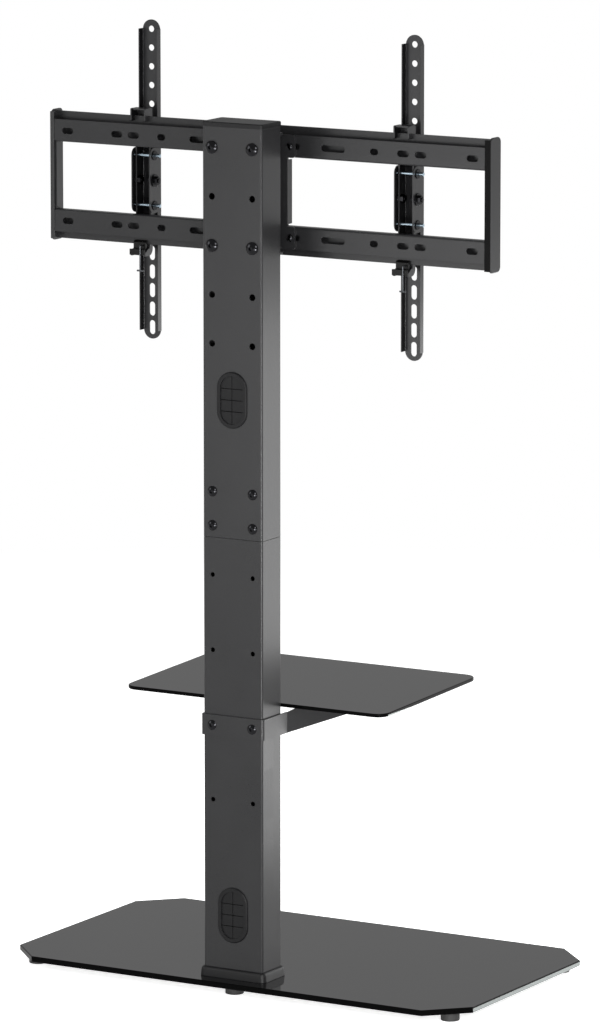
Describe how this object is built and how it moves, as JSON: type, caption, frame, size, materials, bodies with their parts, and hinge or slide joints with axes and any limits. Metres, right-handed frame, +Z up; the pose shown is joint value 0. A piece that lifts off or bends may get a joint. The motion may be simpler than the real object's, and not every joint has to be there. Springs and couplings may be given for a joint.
{
  "type": "tv stand with mount",
  "caption": "Floor stand for a flat screen: bevelled glass base, steel tube column with cable grommets, small glass shelf, swivelling rail head and hooked tilting arms.",
  "frame": {"origin": "on the floor, under the middle of the glass base", "axes": "+X to the stand's left as seen from behind its column, +Y to the rear (column side), +Z up"},
  "size_m": [0.7, 0.4, 1.2759],
  "materials": {
    "powder_coat": "fine-textured satin black powder coat",
    "black_glass": "black tempered glass, polished bevelled edges",
    "shelf_glass": "black tempered glass, polished bevelled edges",
    "black_plastic": "satin moulded plastic",
    "grommet_rubber": "matt soft moulding",
    "rubber": "matt",
    "black_bolts": "glossy black plated steel",
    "nylon": "natural nylon",
    "zinc_plated": "bright zinc plating"
  },
  "bodies": {
    "stand": {"base_glass": "black_glass", "feet": "rubber", "under_plate": "powder_coat", "under_pad": "rubber", "foot_gasket": "rubber", "base_bolts": "black_bolts", "column_collar": "black_plastic", "lower_column": "powder_coat", "joining_sleeve": "powder_coat", "upper_column": "powder_coat", "column_cap": "black_plastic", "joint_bolts": "black_bolts", "lower_grommet": "grommet_rubber", "upper_grommet": "grommet_rubber", "shelf_bracket": "powder_coat", "shelf_bolts": "black_bolts", "shelf_pads": "rubber", "shelf_screws": "black_bolts", "shelf_glass": "shelf_glass", "mount_bracket": "powder_coat", "mount_bolts": "black_bolts", "mount_nuts": "black_bolts", "pivot_bolts": "black_bolts", "pivot_nuts": "black_bolts", "friction_washers": "nylon"},
    "head": {"swivel_plate": "powder_coat", "upper_rail": "powder_coat", "lower_rail": "powder_coat", "left_end_cap": "black_plastic", "right_end_cap": "black_plastic", "rail_bolts": "black_bolts", "rail_nuts": "black_bolts"},
    "left_carrier": {"left_hook_bracket": "powder_coat", "left_tilt_pins": "zinc_plated", "left_tilt_bolts": "black_bolts"},
    "left_arm": {"left_arm": "powder_coat"},
    "left_latch": {"left_latch": "black_plastic", "left_latch_wire": "zinc_plated"},
    "right_carrier": {"right_hook_bracket": "powder_coat", "right_tilt_pins": "zinc_plated", "right_tilt_bolts": "black_bolts"},
    "right_arm": {"right_arm": "powder_coat"},
    "right_latch": {"right_latch": "black_plastic", "right_latch_wire": "zinc_plated"}
  },
  "joints": [
    {"name": "head_swivel", "type": "hinge", "parent": "stand", "child": "head", "pos_m": [0, 0.104, 1.0644], "axis": [0, 0, 1], "range_deg": [-35, 35]},
    {"name": "left_slide", "type": "slide", "parent": "head", "child": "left_carrier", "axis": [1, 0, 0], "range_m": [-0.1, 0.1]},
    {"name": "left_tilt", "type": "hinge", "parent": "left_carrier", "child": "left_arm", "pos_m": [0.2, 0.062, 1.0634], "axis": [1, 0, 0], "range_deg": [-8, 8]},
    {"name": "left_latch_pull", "type": "slide", "parent": "left_carrier", "child": "left_latch", "axis": [0, 0, -1], "range_m": [0, 0.008], "stiffness_N_per_m": 600, "springref_m": -0.003},
    {"name": "right_slide", "type": "slide", "parent": "head", "child": "right_carrier", "axis": [1, 0, 0], "range_m": [-0.1, 0.1]},
    {"name": "right_tilt", "type": "hinge", "parent": "right_carrier", "child": "right_arm", "pos_m": [-0.2, 0.062, 1.0634], "axis": [1, 0, 0], "range_deg": [-8, 8]},
    {"name": "right_latch_pull", "type": "slide", "parent": "right_carrier", "child": "right_latch", "axis": [0, 0, -1], "range_m": [0, 0.008], "stiffness_N_per_m": 600, "springref_m": -0.003}
  ]
}
